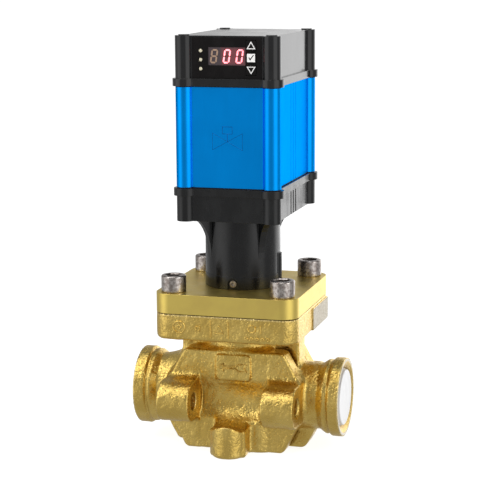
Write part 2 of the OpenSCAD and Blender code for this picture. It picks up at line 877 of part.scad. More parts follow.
module status_leds() {
    color("khaki") for (z = led_z) translate([led_x, 0, z]) {
        bar_y(led_r, label_front, board_front);
        intersection() {
            translate([0, label_front + 0.9, 0]) sphere(r = 1.5);
            bar_y(led_r, label_front - 2, label_front + 0.5);
        }
    }
}

// Key cap with a short stem that reaches for its switch.
module key(step) {
    color("#1a1716") translate([key_x, 0, key_z + step * key_pitch]) {
        translate([0, label_front - 0.15, 0]) rotate([-90, 0, 0]) linear_extrude(1.4)
            rounded_rectangle(key_w, key_w, 1);
        bar_y(1.8, label_front + 1, board_front - 4.9);
    }
}

module key_up() {
    key(1);
}

module key_enter() {
    key(0);
}

module key_down() {
    key(-1);
}

valve_body();
seat_ring();
guide_cylinder();
valve_cone();
cone_seal();
spindle_nut();
guide_pins();
can_retainer();
can_seal();
seal_can();
spindle_bearing_lower();
spindle_bearing_upper();
spindle();
inner_magnet();
bonnet_gasket();
bonnet();
bonnet_screws();
port_plug_right();
port_plug_left();
outer_magnets();
outer_magnet_cup();
cup_set_screw();
bottom_cap();
neck_set_screws();
motor_plate();
plate_screws();
motor_screws();
motor_cap_lower();
motor_stator();
motor_cap_upper();
motor_bearings();
motor_rotor();
lower_gasket();
housing();
upper_gasket();
top_cap();
tie_screws();
screw_plugs();
cable_glands();
gland_nuts();
control_board();
supply_board();
supply_capacitors();
supply_transformer();
display_board();
key_switches();
display_module();
digits_unlit();
digits_lit();
front_label();
status_leds();
key_up();
key_enter();
key_down();
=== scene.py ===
"""Looks of a motorised valve: a display head on a black neck, on the bonnet of a cast valve body.

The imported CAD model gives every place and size. Lengths below are in millimetres, in the same
frame: +Z up, the ports along X, the display facing -Y. mm() turns them into Blender's metres.
"""

import json
import math

import bpy
import numpy as np
from mathutils import Matrix, Vector


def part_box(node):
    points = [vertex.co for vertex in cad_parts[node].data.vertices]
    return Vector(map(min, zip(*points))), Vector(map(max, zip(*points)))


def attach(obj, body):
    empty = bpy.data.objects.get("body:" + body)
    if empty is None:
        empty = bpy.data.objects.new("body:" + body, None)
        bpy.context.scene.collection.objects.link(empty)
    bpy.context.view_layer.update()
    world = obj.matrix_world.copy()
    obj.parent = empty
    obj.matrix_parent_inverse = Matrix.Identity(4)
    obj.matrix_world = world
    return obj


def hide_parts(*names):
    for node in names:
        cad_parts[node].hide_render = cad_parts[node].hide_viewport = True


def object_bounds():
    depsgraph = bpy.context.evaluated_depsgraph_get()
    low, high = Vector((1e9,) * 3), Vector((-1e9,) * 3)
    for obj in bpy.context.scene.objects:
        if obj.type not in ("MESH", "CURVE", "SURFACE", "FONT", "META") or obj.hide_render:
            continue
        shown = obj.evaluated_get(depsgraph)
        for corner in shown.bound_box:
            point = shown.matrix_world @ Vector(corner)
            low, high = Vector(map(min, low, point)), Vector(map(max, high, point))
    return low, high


MM = 0.001
ROOT_BODY = "valve_frame"

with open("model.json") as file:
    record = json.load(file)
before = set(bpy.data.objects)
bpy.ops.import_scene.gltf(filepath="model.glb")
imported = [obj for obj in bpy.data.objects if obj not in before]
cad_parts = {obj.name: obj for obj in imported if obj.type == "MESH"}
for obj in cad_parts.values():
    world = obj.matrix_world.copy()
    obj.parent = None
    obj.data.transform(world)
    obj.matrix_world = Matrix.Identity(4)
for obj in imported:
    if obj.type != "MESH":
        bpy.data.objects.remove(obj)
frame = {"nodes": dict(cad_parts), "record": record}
cad_low, cad_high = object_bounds()


def mm(*values):
    """A point or size given in millimetres, in metres."""
    return Vector(v * MM for v in values)


def box_mm(node):
    """Lowest and highest corner of a CAD node, in millimetres."""
    low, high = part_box(node)
    return low / MM, high / MM


# ---------------------------------------------------------------- meshes


def add_mesh(name, points_mm, faces, smooth=True, sharp_angle=35.0):
    """A mesh object made from points in millimetres, shaded smooth except at sharp edges."""
    mesh = bpy.data.meshes.new(name)
    mesh.from_pydata([tuple(c * MM for c in p) for p in points_mm], [], faces)
    mesh.validate()
    piece = bpy.data.objects.new(name, mesh)
    bpy.context.scene.collection.objects.link(piece)
    if smooth:
        mesh.shade_smooth()
        mesh.set_sharp_from_angle(angle=math.radians(sharp_angle))
    return piece


def fit_out(piece, material, body=ROOT_BODY):
    """Gives a finished piece its material and the body that it rides on."""
    piece.data.materials.clear()
    piece.data.materials.append(material)
    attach(piece, body)
    return piece


def hexagon(across_flats):
    """Radius of a hexagon as a function of the angle."""

    def radius(angle):
        off = (angle + math.pi / 6) % (math.pi / 3) - math.pi / 6
        return across_flats / 2 / math.cos(off)

    return radius


def turned(rings, turn_to, segments=96):
    """Points and quads of a turned shape. Each ring is (radius or radius function, height along
    the axis); turn_to maps a local point (x, y, height) to its place."""
    points, faces = [], []
    for radius, height in rings:
        for i in range(segments):
            angle = 2 * math.pi * i / segments
            r = radius(angle) if callable(radius) else radius
            points.append(turn_to(r * math.cos(angle), r * math.sin(angle), height))
    for ring in range(len(rings) - 1):
        for i in range(segments):
            j = (i + 1) % segments
            a, b = ring * segments, (ring + 1) * segments
            faces.append((a + i, a + j, b + j, b + i))
    faces.append(tuple(range(segments - 1, -1, -1)))
    last = (len(rings) - 1) * segments
    faces.append(tuple(last + i for i in range(segments)))
    return points, faces


def rounded(r, low, high, edge, steps=4):
    """Rings of a cylinder from low to high whose top edge is rounded."""
    rings = [(r, low)]
    for i in range(steps + 1):
        a = math.pi / 2 * i / steps
        rings.append((r - edge + edge * math.cos(a), high - edge + edge * math.sin(a)))
    return rings


# ---------------------------------------------------------------- distance fields


def blend(a, b, r):
    """Union of two distance fields with a round fillet of radius r."""
    hollow = np.hypot(np.maximum(r - a, 0), np.maximum(r - b, 0))
    return np.maximum(r, np.minimum(a, b)) - hollow


def carve(a, b, r):
    """Field a less solid b, with an edge rounded to radius r."""
    return -blend(-a, b, r)


def overlap(a, b, r):
    """Intersection of two fields with an edge rounded to radius r."""
    return -blend(-a, -b, r)


def slab(flat, along, low, high, edge):
    """A flat field made thick from low to high along an axis, with rounded edges."""
    across = np.abs(along - (low + high) / 2) - (high - low) / 2 + edge
    flat = flat + edge
    outside = np.hypot(np.maximum(flat, 0), np.maximum(across, 0))
    return np.minimum(np.maximum(flat, across), 0) + outside - edge


def rectangle(u, v, half_u, half_v, corner):
    """Flat field of a rounded rectangle."""
    du, dv = np.abs(u) - half_u + corner, np.abs(v) - half_v + corner
    return np.hypot(np.maximum(du, 0), np.maximum(dv, 0)) + np.minimum(np.maximum(du, dv), 0) - corner


def convex(u, v, corners, corner_r):
    """Flat field of a convex outline, given anticlockwise, with rounded corners."""
    field = None
    count = len(corners)
    for i in range(count):
        (u0, v0), (u1, v1) = corners[i], corners[(i + 1) % count]
        length = math.hypot(u1 - u0, v1 - v0)
        nu, nv = (v1 - v0) / length, -(u1 - u0) / length
        side = (u - u0) * nu + (v - v0) * nv
        field = side if field is None else overlap(field, side, corner_r)
    return field


def outline(u, v, corners):
    """Flat signed distance of any closed outline."""
    nearest, inside = np.inf, False
    for (u0, v0), (u1, v1) in zip(corners, corners[1:] + corners[:1]):
        eu, ev = u1 - u0, v1 - v0
        t = np.clip(((u - u0) * eu + (v - v0) * ev) / (eu * eu + ev * ev), 0, 1)
        nearest = np.minimum(nearest, (u - u0 - eu * t) ** 2 + (v - v0 - ev * t) ** 2)
        if ev:
            inside = inside ^ (((v0 > v) != (v1 > v)) & (u < eu * (v - v0) / ev + u0))
    return np.sqrt(nearest) * np.where(inside, -1, 1)


def drum(radial, along, r, low, high, edge):
    """A round bar: radial distance field r, from low to high along its axis."""
    return slab(radial - r, along, low, high, edge)


def surface_net(field_of, low, high, pitch):
    """Points and quads on the zero level of a distance field, pulled onto it after meshing."""
    axes = [np.arange(a, b + pitch, pitch) for a, b in zip(low, high)]
    x, y, z = np.meshgrid(*axes, indexing="ij", sparse=True)
    field = np.broadcast_to(field_of(x, y, z), [len(a) for a in axes])
    cells = np.array(field.shape) - 1
    size = int(np.prod(cells))
    total, count = np.zeros((3, size)), np.zeros(size)
    quads = []
    for axis in range(3):
        here = [slice(None)] * 3
        there = [slice(None)] * 3
        here[axis], there[axis] = slice(0, -1), slice(1, None)
        first, second = field[tuple(here)], field[tuple(there)]
        crossing = np.argwhere((first < 0) != (second < 0))
        others = [a for a in range(3) if a != axis]
        inner = np.all([(crossing[:, a] > 0) & (crossing[:, a] < cells[a]) for a in others], axis=0)
        crossing = crossing[inner]
        f0, f1 = first[tuple(crossing.T)], second[tuple(crossing.T)]
        place = crossing.astype(float)
        place[:, axis] += f0 / (f0 - f1)
        corners = []
        for step_b, step_c in ((0, 0), (1, 0), (1, 1), (0, 1)):
            cell = crossing.copy()
            cell[:, others[0]] -= step_b
            cell[:, others[1]] -= step_c
            flat = np.ravel_multi_index(cell.T, cells)
            corners.append(flat)
            count += np.bincount(flat, minlength=size)
            for a in range(3):
                total[a] += np.bincount(flat, weights=place[:, a], minlength=size)
        loop = np.stack(corners, axis=1)
        turn = (f0 < 0) != (axis == 1)
        loop[turn] = loop[turn][:, ::-1]
        quads.append(loop)
    used = np.flatnonzero(count)
    index = np.full(size, -1)
    index[used] = np.arange(len(used))
    points = (total[:, used] / count[used]).T * pitch + np.array([a[0] for a in axes])
    for _ in range(3):
        value = field_of(*points.T)
        slope = gradient(field_of, points)
        points -= np.clip(value, -0.25 * pitch, 0.25 * pitch)[:, None] * slope
    return points, index[np.concatenate(quads)]


def gradient(field_of, points, step=0.04):
    """Unit direction in which a field grows, at each point."""
    slope = np.empty_like(points)
    for axis in range(3):
        ahead, behind = points.copy(), points.copy()
        ahead[:, axis] += step
        behind[:, axis] -= step
        slope[:, axis] = field_of(*ahead.T) - field_of(*behind.T)
    return slope / np.maximum(np.linalg.norm(slope, axis=1), 1e-9)[:, None]


# ---------------------------------------------------------------- cast valve body

# Ports: the face's distance from the middle, the axis' height, then ring, pipe, socket, bore, mouth
END = cad_high.x / MM
PORT_Z = 38.5
HUB_R, PIPE_R = 29.0, 24.5
SOCKET_R, SOCKET_DEEP = 21.35, 14
BORE_R, BORE_DEEP = 17.5, 23
MOUTH_R, MOUTH_DEEP, MOUTH_SLOPE = 26.4, 2.4, 0.42
# Slanting passages, inlet and outlet: where each ends over the valve chamber, outside and inside radius
PASSAGES = ((1, 18, 27), (-1, 20, 61.5))
PASSAGE_R, PASSAGE_BORE_R = 18, 12.5
# Valve chamber from below: radius, from and to
CHAMBER = ((18.05, 12, 49), (22.5, 49, 110), (26.3, 102.5, 110))
# Square flange under the bonnet, and its four screw holes
FLANGE_HALF, FLANGE_LOW, FLANGE_HIGH, FLANGE_CORNER = 53.0, 87.0, 105.5, 12.0
SCREW_AT, SCREW_R, SCREW_LOW = 40.5, 6.0, 89.4
# Side plates with their bolt bosses, and the channels that the nuts go in by
PLATE_Y, PLATE_T = 27.5, 9.0
BOSS_Y, BOSS_R, BOSS_IN, BOSS_OUT = 40.0, 15.0, 26.0, 51.0
BOSS_STEM_Y = 21.0
BOLT_R = 6.75
CHANNEL_R = 18.0
PLATE_OUTLINE = [
    (-37, 0), (37, 0), (50.5, 26), (50.5, 51), (37.5, 75), (-37.5, 75), (-50.5, 51), (-50.5, 26)
]
# Foot boss under each plate, and the swelling beside it
FOOT_R, FOOT_HIGH = 13.0, 26
SWELLING = (17.5, 22.5, 8.5, 28)
# Web under the ports
WEB_OUTLINE = [(-49, 0), (49, 0), (57, 14.5), (57, PORT_Z), (-57, PORT_Z), (-57, 14.5)]
WEB_T = 18.0
# Raised panel for the arrow: half width, height of its middle, half height
PANEL = (13.3, 62.65, 9.65)
# Machined pad on the flange's right side: its face, and its y and z from and to
PAD_X, PAD_Y, PAD_Z = 54, (-2, 45), (87.5, 104)
# Distance fields are cut this sharply by a tool, and this closely meshed
TOOL_EDGE = 0.01
PITCH = 0.8


def waves(x, y, z):
    """Slight unevenness of a sand casting, about a tenth of a millimetre."""
    a = np.sin(0.61 * x + 1.3 * np.sin(0.23 * z)) * np.sin(0.53 * z + 1.1 * np.sin(0.31 * y))
    b = np.sin(0.47 * y + 0.29 * x + 0.8) * np.sin(0.71 * x - 0.37 * z + 1.7)
    return 0.07 * (a + b)


def port_rings(x, y, z):
    """Pipe necks with a wide ring at each port and a lower rounded one behind it."""
    profile = [
        (-1, 0), (PIPE_R, 0), (PIPE_R, END - 17), (26.2, END - 14.5), (27.5, END - 12.3),
        (27.6, END - 11.3), (27.0, END - 9.9), (27.3, END - 9), (28.7, END - 8),
        (HUB_R, END - 7.2), (HUB_R, END + 4), (-1, END + 4)
    ]
    return outline(np.hypot(y, z - PORT_Z), np.abs(x), profile)


def one_side(x, y, z):
    """What stands on one side plate: the plate, two bolt bosses, the foot and its swelling."""
    radial_boss = np.maximum(np.hypot(np.minimum(y + BOSS_Y, 0), z - PORT_Z), y + BOSS_STEM_Y + BOSS_R)
    plate = slab(convex(x, z, PLATE_OUTLINE, 2.5), y, -PLATE_Y, -PLATE_Y + PLATE_T + 6, 1.8)
    ends = np.maximum(BOSS_IN - np.abs(x), np.abs(x) - BOSS_OUT)
    bosses = overlap(blend(plate, radial_boss - BOSS_R, 6.0), ends, 1.2)
    foot = drum(np.hypot(x, y + BOSS_Y), z, FOOT_R, 0, FOOT_HIGH, 2.5)
    foot_stem = slab(rectangle(x, y + 32, FOOT_R, 12, 1), z, 0, FOOT_HIGH, 2.0)
    swell_x, swell_y, swell_r, swell_high = SWELLING
    swelling = drum(np.hypot(x - swell_x, y + swell_y), z, swell_r, 0, swell_high, 2.5)
    feet = blend(blend(foot, foot_stem, 2.0), swelling, 4.0)
    side = blend(plate, feet, 3.5)
    return blend(side, bosses, 0.8)


def flow_panel(x, y, z):
    """Raised panel for the flow arrow on the front."""
    return slab(rectangle(x, z - PANEL[1], PANEL[0], PANEL[2], 3.0), y, -PLATE_Y - 1.6, -PLATE_Y + 3, 0.9)


def tilted(x, z, start_x, start_z, stop_x, stop_z):
    """Distance along and across a slanting line in the XZ plane."""
    run, rise = stop_x - start_x, stop_z - start_z
    length = math.hypot(run, rise)
    along = ((x - start_x) * run + (z - start_z) * rise) / length
    across = (-(x - start_x) * rise + (z - start_z) * run) / length
    return along, across, length


def passage(x, y, z, side, end_x, end_z, r, edge):
    """Slanting passage between one socket and the valve chamber."""
    along, across, length = tilted(side * x, z, END - SOCKET_DEEP, PORT_Z, end_x, end_z)
    return drum(np.hypot(across, y), along, r, 0, length + 6, edge)


def rough_body(x, y, z):
    """Everything as cast, before machining."""
    core = drum(np.hypot(x, y), z, 26.5, 0, FLANGE_LOW + 2, 2.0)
    wing = slab(rectangle(x, y, 44.8, 9.5, 1.5), z, 46, FLANGE_LOW + 2, 1.0)
    inside = blend(core, wing, 5.0)
    for way in PASSAGES:
        inside = blend(inside, passage(x, y, z, *way, PASSAGE_R, 6), 5.0)
    solid = blend(inside, port_rings(x, y, z), 4.0)
    web = slab(convex(x, z, WEB_OUTLINE, 2.5), y, -WEB_T / 2, WEB_T / 2, 1.2)
    solid = blend(solid, web, 3.0)
    solid = blend(solid, one_side(x, y, z), 4.0)
    solid = blend(solid, one_side(-x, -y, z), 4.0)
    for turn in (1, -1):
        channel = drum(np.hypot(turn * y + BOSS_Y, z - PORT_Z), x, CHANNEL_R, -BOSS_IN, BOSS_IN, 1.0)
        solid = carve(solid, channel, 2.6)
    flange_flat = rectangle(x, y, FLANGE_HALF, FLANGE_HALF, FLANGE_CORNER)
    flange = slab(flange_flat, z, FLANGE_LOW, FLANGE_HIGH + 6, 2.4)
    solid = blend(solid, flange, 5.0)
    solid = blend(solid, flow_panel(x, y, z), 1.0)
    return solid + waves(x, y, z)


def countersink(radial, above, r, depth):
    """A 45 degree chamfer round the mouth of a hole of radius r; above is the height over its face."""
    cone = (radial - r - depth - above) * math.sqrt(0.5)
    return np.maximum(cone, np.abs(above) - depth)


def machining(x, y, z):
    """Field of all that is cut away: ports, chamber, bolt holes and the gasket face."""
    radial, along = np.hypot(y, z - PORT_Z), np.abs(x)
    socket = drum(radial, along, SOCKET_R, END - SOCKET_DEEP, END + 3, TOOL_EDGE)
    bore = drum(radial, along, BORE_R, END - BORE_DEEP, END - SOCKET_DEEP + 1, TOOL_EDGE)
    slope = radial - MOUTH_R - (along - END) * (MOUTH_R - SOCKET_R) / MOUTH_DEEP
    mouth = np.maximum(slope * MOUTH_SLOPE, np.abs(along - END) - MOUTH_DEEP)
    cuts = [socket, bore, mouth]
    axis_r = np.hypot(x, y)
    for r, low, high in CHAMBER:
        cuts.append(drum(axis_r, z, r, low, high, TOOL_EDGE))
    for way in PASSAGES:
        cuts.append(passage(x, y, z, *way, PASSAGE_BORE_R, TOOL_EDGE))
    bolt = np.hypot(np.abs(y) - BOSS_Y, z - PORT_Z)
    cuts.append(drum(bolt, along, BOLT_R, 16, 60, TOOL_EDGE))
    cuts.append(countersink(bolt, along - BOSS_OUT, BOLT_R, 1.1))
    cuts.append(countersink(bolt, BOSS_IN - along, BOLT_R, 0.8))
    screw = np.hypot(np.abs(x) - SCREW_AT, np.abs(y) - SCREW_AT)
    cuts.append(drum(screw, z, SCREW_R, SCREW_LOW, 110, TOOL_EDGE))
    nearest = cuts[0]
    for cut in cuts[1:]:
        nearest = np.minimum(nearest, cut)
    return nearest


def casting(x, y, z):
    """Distance field of the finished casting."""
    (y0, y1), (z0, z1) = PAD_Y, PAD_Z
    pad_flat = rectangle(y - (y0 + y1) / 2, z - (z0 + z1) / 2, (y1 - y0) / 2, (z1 - z0) / 2, 0.8)
    pad = slab(pad_flat, x, 40, PAD_X, 0.4)
    solid = rough_body(x, y, z)
    solid = np.minimum(solid, pad)
    solid = np.maximum(solid, z - FLANGE_HIGH)
    solid = np.maximum(solid, np.abs(x) - END)
    solid = np.maximum(solid, -z)
    return np.maximum(solid, -machining(x, y, z))


def cast_body(material):
    """The casting as one closed mesh, with how hollow or proud each point lies as attributes, from which
    its material paints shade in the hollows and a highlight on proud edges.
    """
    points, quads = surface_net(casting, (-80.3, -57.3, -1.3), (80.3, 57.3, 107.3), PITCH)
    piece = add_mesh("cast_valve_body", points.tolist(), quads.tolist(), sharp_angle=60)
    slope = gradient(casting, points)
    # hollow drives painted shade and proud a painted highlight, partly rubbed wear, in the material
    over, under = 4.0, 1.5
    hollow = np.clip(1 - casting(*(points + over * slope).T) / over, 0, 1)
    proud = np.clip(1 + casting(*(points - under * slope).T) / under, 0, 1)
    for label, values in (("hollow", hollow), ("proud", proud)):
        store = piece.data.attributes.new(label, "FLOAT", "POINT")
        store.data.foreach_set("value", values.astype(np.float32))
    fit_out(piece, material)
    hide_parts("valve_body")


# ---------------------------------------------------------------- material building blocks


class Look:
    """A material under construction: its node tree with the Principled shader in it."""

    def __init__(self, name, colour, metallic, roughness, **sockets):
        self.material = bpy.data.materials.new(name)
        self.material.use_nodes = True
        self.tree = self.material.node_tree
        self.shader = self.tree.nodes["Principled BSDF"]
        self.place = self.add("ShaderNodeTexCoord").outputs["Object"]
        self.set("Base Color", (*colour, 1.0))
        self.set("Metallic", metallic)
        self.set("Roughness", roughness)
        for socket, value in sockets.items():
            self.set(socket.replace("_", " "), value)

    def set(self, socket, value):
        self.shader.inputs[socket].default_value = value

    def add(self, kind, **values):
        node = self.tree.nodes.new(kind)
        for key, value in values.items():
            setattr(node, key, value)
        return node

    def join(self, source, target):
        self.tree.links.new(source, target)

    def feed(self, source, socket):
        self.join(source, self.shader.inputs[socket])

    def noise(self, size, detail=3.0, stretch=(1, 1, 1), rough=0.55):
        """Noise whose lumps are about size millimetres across."""
        scale = self.add("ShaderNodeMapping")
        scale.inputs["Scale"].default_value = stretch
        self.join(self.place, scale.inputs["Vector"])
        node = self.add("ShaderNodeTexNoise")
        node.inputs["Scale"].default_value = 1 / (size * MM)
        node.inputs["Detail"].default_value = detail
        node.inputs["Roughness"].default_value = rough
        self.join(scale.outputs["Vector"], node.inputs["Vector"])
        return node.outputs["Fac"]

    def cells(self, size):
        """Distance to the nearest of points scattered about size millimetres apart."""
        node = self.add("ShaderNodeTexVoronoi")
        node.inputs["Scale"].default_value = 1 / (size * MM)
        self.join(self.place, node.inputs["Vector"])
        return node.outputs["Distance"]

    def attribute(self, name):
        return self.add("ShaderNodeAttribute", attribute_name=name).outputs["Fac"]

    def along(self, axis):
        """Place along one axis, in millimetres."""
        split = self.add("ShaderNodeSeparateXYZ")
        self.join(self.place, split.inputs[0])
        return self.maths("MULTIPLY", split.outputs[axis], 1 / MM)

    def maths(self, operation, a, b=None):
        node = self.add("ShaderNodeMath", operation=operation)
        for i, value in enumerate((a, b)):
            if value is None:
                continue
            if isinstance(value, (int, float)):
                node.inputs[i].default_value = value
            else:
                self.join(value, node.inputs[i])
        return node.outputs[0]

    def step(self, value, low, high, to_low=0.0, to_high=1.0):
        """Value mapped smoothly from low..high to to_low..to_high, clamped."""
        node = self.add("ShaderNodeMapRange", interpolation_type="SMOOTHSTEP")
        for i, number in enumerate((low, high, to_low, to_high)):
            node.inputs[i + 1].default_value = number
        self.join(value, node.inputs[0])
        return node.outputs[0]

    def mix(self, factor, a, b):
        """Two colours mixed by a factor; each is an RGB tuple or a socket."""
        node = self.add("ShaderNodeMix", data_type="RGBA")
        self.join(factor, node.inputs[0])
        for i, value in ((6, a), (7, b)):
            if isinstance(value, tuple):
                node.inputs[i].default_value = (*value, 1.0)
            else:
                self.join(value, node.inputs[i])
        return node.outputs[2]

    def bump(self, height, depth, under=None):
        """Bump whose full height is depth millimetres, on top of the normal under it."""
        node = self.add("ShaderNodeBump")
        node.inputs["Strength"].default_value = 1.0
        node.inputs["Distance"].default_value = depth * MM
        self.join(height, node.inputs["Height"])
        if under is not None:
            self.join(under, node.inputs["Normal"])
        return node.outputs["Normal"]

    def soft_edge(self, radius):
        """Normals as if each edge were rounded by radius millimetres."""
        node = self.add("ShaderNodeBevel", samples=6)
        node.inputs["Radius"].default_value = radius * MM
        return node.outputs["Normal"]


def cast_look():
    """Sand-cast metal with a yellow chromate finish: grainy, with painted shade in the hollows and a
    painted highlight, partly rubbed wear, on proud edges; bare where milled.
    """
    look = Look("cast_gold", (0.84, 0.60, 0.19), 1.0, 0.34)
    grain = look.noise(1.7, 3.0, rough=0.5)
    patches = look.noise(16, 3.0)
    pits = look.step(look.cells(2.2), 0.0, 0.35)
    pad_face = look.step(look.along(0), PAD_X - 0.18, PAD_X - 0.1)
    pad = look.maths("MULTIPLY", pad_face, look.step(look.along(2), 84, 86))
    port_face = look.step(look.maths("ABSOLUTE", look.along(0)), END - 0.12, END - 0.04)
    smooth = look.maths("MAXIMUM", pad, port_face)
    hollow, proud = look.attribute("hollow"), look.attribute("proud")
    tone = look.mix(look.step(patches, 0.35, 0.65), (0.77, 0.55, 0.155), (0.67, 0.46, 0.115))
    # Painted shade: dark brown where the surface lies in a hollow, standing in for occlusion
    tone = look.mix(look.step(hollow, 0.2, 0.85), tone, (0.34, 0.19, 0.03))
    # Painted highlight on proud edges, partly rubbed bare metal: a paler gold
    tone = look.mix(look.step(proud, 0.15, 0.7, 0.0, 0.55), tone, (0.92, 0.74, 0.36))
    tone = look.mix(port_face, tone, (0.42, 0.37, 0.27))
    tone = look.mix(pad, tone, (0.25, 0.21, 0.135))
    look.feed(tone, "Base Color")
    look.feed(look.step(grain, 0.3, 0.7, 0.25, 0.38), "Roughness")
    calm = look.maths("SUBTRACT", 1.0, smooth)
    rough = look.maths("ADD", grain, look.maths("MULTIPLY", pits, 0.5))
    height = look.maths("MULTIPLY", rough, calm)
    swell = look.bump(look.noise(5.5, 2.0), 0.35)
    look.feed(look.bump(height, 0.42, under=swell), "Normal")
    return look.material


def bonnet_look():
    """Milled bonnet: yellow chromate on its edge, barer on its turned top, which is painted darker for
    the shade and dark reflection of the head above it.
    """
    top_z = box_mm("bonnet")[1].z
    look = Look("bonnet_olive", (0.80, 0.61, 0.16), 1.0, 0.36)
    lines = look.noise(0.5, 2.0, (0.06, 0.06, 4))
    clouds = look.noise(18, 4.0)
    edge = look.mix(look.step(clouds, 0.35, 0.7), (0.82, 0.63, 0.16), (0.76, 0.57, 0.15))
    # Painted shade: the turned top is coloured dark grey-brown for the shade and dark reflection of the
    # head above it
    top = look.mix(look.step(clouds, 0.35, 0.65), (0.30, 0.26, 0.19), (0.44, 0.40, 0.32))
    shaded_top = look.step(look.along(2), top_z - 0.5, top_z - 0.1)
    look.feed(look.mix(shaded_top, edge, top), "Base Color")
    look.feed(look.step(lines, 0.2, 0.8, 0.32, 0.44), "Roughness")
    look.feed(look.bump(lines, 0.012, under=look.soft_edge(0.5)), "Normal")
    return look.material


def screw_look():
    """Bright steel with scratches and darker worn patches."""
    look = Look("screw_steel", (0.52, 0.50, 0.48), 1.0, 0.28)
    patches = look.noise(2.2, 4.0)
    scratch = look.noise(0.7, 4.0, (1, 1, 0.18), 0.7)
    tone = look.mix(look.step(patches, 0.38, 0.62), (0.50, 0.46, 0.43), (0.27, 0.23, 0.21))
    look.feed(tone, "Base Color")
    look.feed(look.step(scratch, 0.3, 0.7, 0.18, 0.42), "Roughness")
    look.feed(look.bump(look.maths("ADD", scratch, patches), 0.03), "Normal")
    return look.material


def steel_look(name, colour, roughness=0.3):
    """Turned steel with fine lines."""
    look = Look(name, colour, 1.0, roughness)
    lines = look.noise(0.4, 2.0, (0.2, 0.2, 6))
    look.feed(look.step(lines, 0.2, 0.8, roughness - 0.06, roughness + 0.08), "Roughness")
    look.feed(look.bump(lines, 0.01, under=look.soft_edge(0.25)), "Normal")
    return look.material


def anodised_look():
    """Blue anodised extrusion with faint drawing lines along its height."""
    look = Look("blue_anodised", (0.002, 0.33, 0.95), 1.0, 0.33)
    look.set("Specular Tint", (0.0, 0.5, 0.6, 1.0))
    lines = look.noise(0.6, 2.0, (1, 1, 0.02))
    cloud = look.noise(30, 2.0)
    tone = look.mix(look.step(cloud, 0.3, 0.7), (0.002, 0.335, 0.96), (0.002, 0.31, 0.90))
    look.feed(tone, "Base Color")
    look.feed(look.step(lines, 0.2, 0.8, 0.30, 0.38), "Roughness")
    look.feed(look.bump(lines, 0.006, under=look.soft_edge(0.3)), "Normal")
    return look.material


def plastic_look(name, colour, roughness, texture=0.02, size=0.5, edge=0.35, cloud=0.06, **sockets):
    """Moulded plastic or paint: fine grain, faint clouding, softened edges."""
    look = Look(name, colour, 0.0, roughness, **sockets)
    grain = look.noise(size, 3.0)
    clouds = look.noise(14, 4.0, (1, 1, 0.5), 0.65)
    lighter = tuple(c * 1.25 + 0.002 for c in colour)
    look.feed(look.mix(look.step(clouds, 0.4, 0.7), colour, lighter), "Base Color")
    look.feed(look.step(clouds, 0.35, 0.7, roughness - cloud, roughness + cloud), "Roughness")
    look.feed(look.bump(grain, texture, under=look.soft_edge(edge)), "Normal")
    return look.material


def glow_look(name, colour, strength):
    """A lit display segment, a little brighter in its middle."""
    look = Look(name, colour, 0.0, 0.4)
    look.set("Emission Strength", strength)
    spread = look.noise(1.5, 1.0)
    tone = look.mix(look.step(spread, 0.3, 0.7), colour, (1.0, 0.34, 0.36))
    look.feed(tone, "Emission Color")
    return look.material


def display_look():
    """Smoked display window, with a painted red glow round the lit digits behind it."""
    low, high = box_mm("digits_lit")
    look = Look("display_dark", (0.055, 0.040, 0.045), 0.0, 0.16)
    beside = look.maths("SUBTRACT", look.along(0), (low.x + high.x) / 2)
    beside = look.maths("SUBTRACT", look.maths("ABSOLUTE", beside), (high.x - low.x) / 2)
    above = look.maths("SUBTRACT", look.along(2), (low.z + high.z) / 2)
    above = look.maths("SUBTRACT", look.maths("ABSOLUTE", above), (high.z - low.z) / 2)
    away = look.maths("MAXIMUM", beside, above)
    grain = look.noise(0.8, 1.0)
    # Painted glow: red emission on the window near the lit digits, fading out within a few millimetres
    glow = look.step(away, -1.0, 2.4, 0.12, 0.0)
    halo = look.maths("MULTIPLY", glow, look.step(grain, 0, 1, 0.8, 1.2))
    look.feed(look.mix(halo, (0, 0, 0), (0.9, 0.02, 0.03)), "Emission Color")
    look.set("Emission Strength", 1.0)
    return look.material


def unlit_look():
    """Unlit display segments, which show on the dark digit and hardly beside the lit ones."""
    look = Look("digit_dark", (0.30, 0.19, 0.13), 0.0, 0.4)
    lit_from = box_mm("digits_lit")[0].x
    beside_lit = look.step(look.along(0), lit_from - 0.3, lit_from)
    look.feed(look.mix(beside_lit, (0.34, 0.22, 0.15), (0.10, 0.02, 0.02)), "Base Color")
    return look.material


